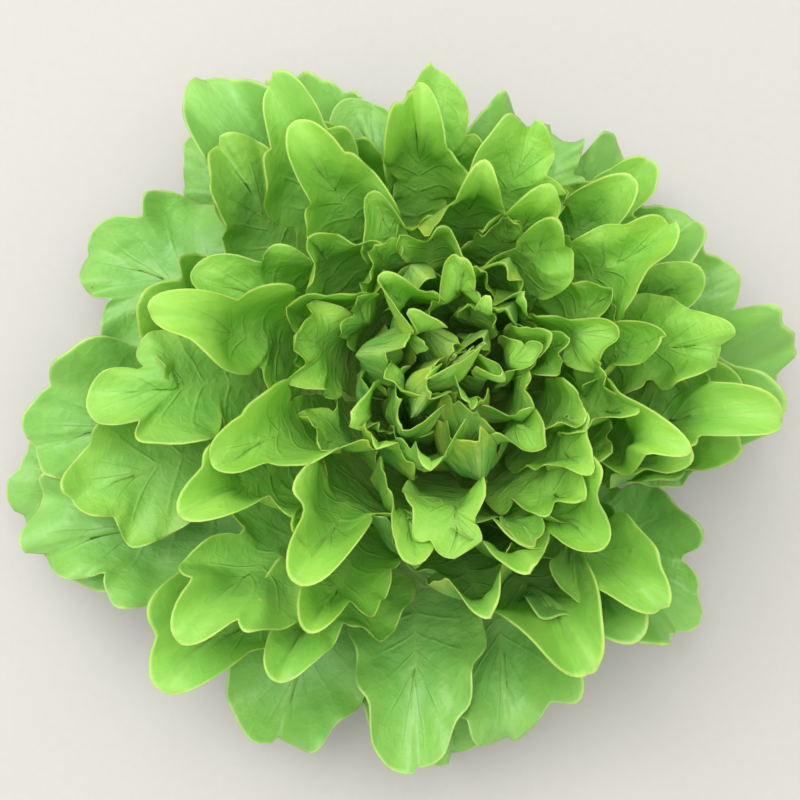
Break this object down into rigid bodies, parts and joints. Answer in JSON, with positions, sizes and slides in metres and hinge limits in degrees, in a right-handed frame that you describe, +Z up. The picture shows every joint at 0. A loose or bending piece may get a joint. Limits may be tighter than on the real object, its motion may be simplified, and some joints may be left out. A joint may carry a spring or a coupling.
{
  "type": "head of lettuce",
  "caption": "Round head of oak-leaf lettuce with lobed leaves in a spiral round a short stem, cut flat underneath so that it stands on a table.",
  "frame": {"origin": "centre of the flat cut face under the stem, on the surface the head rests on", "axes": "+Z up along the stem towards the crown; the camera side of the head is -Y; +X is the side the crown leans to"},
  "size_m": [0.2973, 0.2748, 0.1577],
  "materials": {
    "stem": "satin",
    "outer_leaf": "satin",
    "middle_leaf": "satin",
    "inner_leaf": "satin",
    "heart_leaf": "satin"
  },
  "bodies": {
    "root": {"stem": "stem", "outer_leaf_01": "outer_leaf", "outer_leaf_02": "outer_leaf", "outer_leaf_03": "outer_leaf", "outer_leaf_04": "outer_leaf", "outer_leaf_05": "outer_leaf", "outer_leaf_06": "outer_leaf", "outer_leaf_07": "outer_leaf", "outer_leaf_08": "outer_leaf", "outer_leaf_09": "outer_leaf", "outer_leaf_10": "outer_leaf", "outer_leaf_11": "outer_leaf", "outer_leaf_12": "outer_leaf", "outer_leaf_13": "outer_leaf", "outer_leaf_14": "outer_leaf", "outer_leaf_15": "outer_leaf", "outer_leaf_16": "outer_leaf", "outer_leaf_17": "outer_leaf", "outer_leaf_18": "outer_leaf", "outer_leaf_19": "outer_leaf", "outer_leaf_20": "outer_leaf", "middle_leaf_01": "middle_leaf", "middle_leaf_02": "middle_leaf", "middle_leaf_03": "middle_leaf", "middle_leaf_04": "middle_leaf", "middle_leaf_05": "middle_leaf", "middle_leaf_06": "middle_leaf", "middle_leaf_07": "middle_leaf", "middle_leaf_08": "middle_leaf", "middle_leaf_09": "middle_leaf", "middle_leaf_10": "middle_leaf", "middle_leaf_11": "middle_leaf", "middle_leaf_12": "middle_leaf", "middle_leaf_13": "middle_leaf", "middle_leaf_14": "middle_leaf", "middle_leaf_15": "middle_leaf", "middle_leaf_16": "middle_leaf", "middle_leaf_17": "middle_leaf", "middle_leaf_18": "middle_leaf", "middle_leaf_19": "middle_leaf", "middle_leaf_20": "middle_leaf", "inner_leaf_01": "inner_leaf", "inner_leaf_02": "inner_leaf", "inner_leaf_03": "inner_leaf", "inner_leaf_04": "inner_leaf", "inner_leaf_05": "inner_leaf", "inner_leaf_06": "inner_leaf", "inner_leaf_07": "inner_leaf", "inner_leaf_08": "inner_leaf", "inner_leaf_09": "inner_leaf", "inner_leaf_10": "inner_leaf", "inner_leaf_11": "inner_leaf", "inner_leaf_12": "inner_leaf", "inner_leaf_13": "inner_leaf", "inner_leaf_14": "inner_leaf", "inner_leaf_15": "inner_leaf", "inner_leaf_16": "inner_leaf", "inner_leaf_17": "inner_leaf", "inner_leaf_18": "inner_leaf", "heart_leaves": "heart_leaf"}
  },
  "joints": []
}
